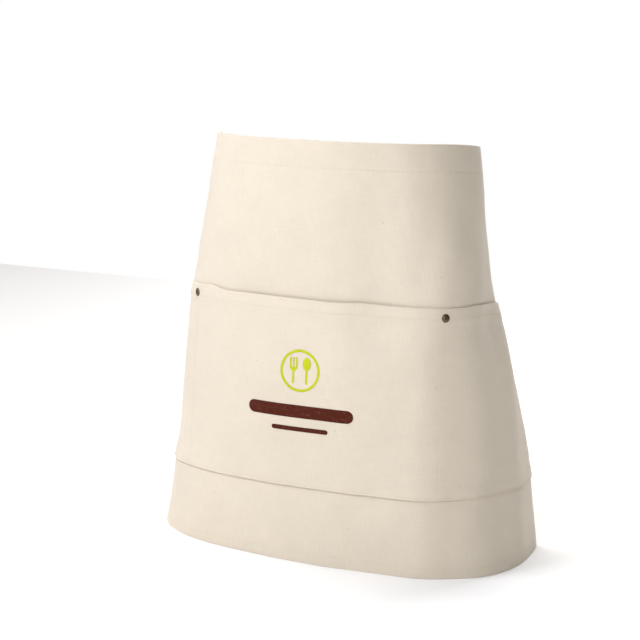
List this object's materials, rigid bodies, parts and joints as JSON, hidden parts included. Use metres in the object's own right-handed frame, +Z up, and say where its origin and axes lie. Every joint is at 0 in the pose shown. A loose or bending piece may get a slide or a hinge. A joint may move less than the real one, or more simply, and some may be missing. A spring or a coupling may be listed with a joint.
{
  "type": "waist apron",
  "caption": "Canvas waist apron standing open as worn, with a full-width riveted front pocket and folded tie tapes at the back.",
  "frame": {"origin": "middle of the bottom hem at the front centre, in the middle of the cloth's thickness", "axes": "+Z up from the hem to the waist, the front of the apron faces -Y, +X towards the apron's right-hand side as seen from the front"},
  "size_m": [0.4006, 0.2018, 0.42],
  "materials": {
    "canvas": "unbleached plain-weave cotton canvas with slubs and flecks",
    "tie_tape": "herringbone cotton tape",
    "thread": "matt cotton thread",
    "rivet_metal": "dark antique brass, brushed and worn at the rim",
    "label": "blank woven satin label",
    "ink_lime": "screen-print ink, lime",
    "ink_brown": "screen-print ink, dark brown"
  },
  "bodies": {
    "apron": {"body_panel": "canvas", "waist_hem": "canvas", "bottom_hem": "canvas", "side_hem_left": "canvas", "side_hem_right": "canvas", "pocket_panel": "canvas", "pocket_mouth_hem": "canvas", "pocket_foot_fold": "canvas", "rivet_caps": "rivet_metal", "rivet_posts": "rivet_metal", "rivet_washers": "rivet_metal", "tie_left_sewn_end": "tie_tape", "tie_right_sewn_end": "tie_tape", "waist_stitching": "thread", "side_stitching": "thread", "hem_stitching": "thread", "mouth_stitching": "thread", "foot_stitching": "thread", "division_stitching": "thread", "tie_stitching": "thread", "care_label": "label", "print_ring": "ink_lime", "print_cutlery": "ink_lime", "print_bars": "ink_brown"},
    "left_tie": {"tie_left": "tie_tape", "tie_left_wrap": "tie_tape"},
    "right_tie": {"tie_right": "tie_tape", "tie_right_wrap": "tie_tape"}
  },
  "joints": [
    {"name": "tie_left_swing", "type": "hinge", "parent": "apron", "child": "left_tie", "pos_m": [-0.03175, 0.17721, 0.36252], "axis": [1, 0, 0], "range_deg": [-60, 100]},
    {"name": "tie_right_swing", "type": "hinge", "parent": "apron", "child": "right_tie", "pos_m": [0.03175, 0.17721, 0.36252], "axis": [1, 0, 0], "range_deg": [-60, 100]}
  ]
}
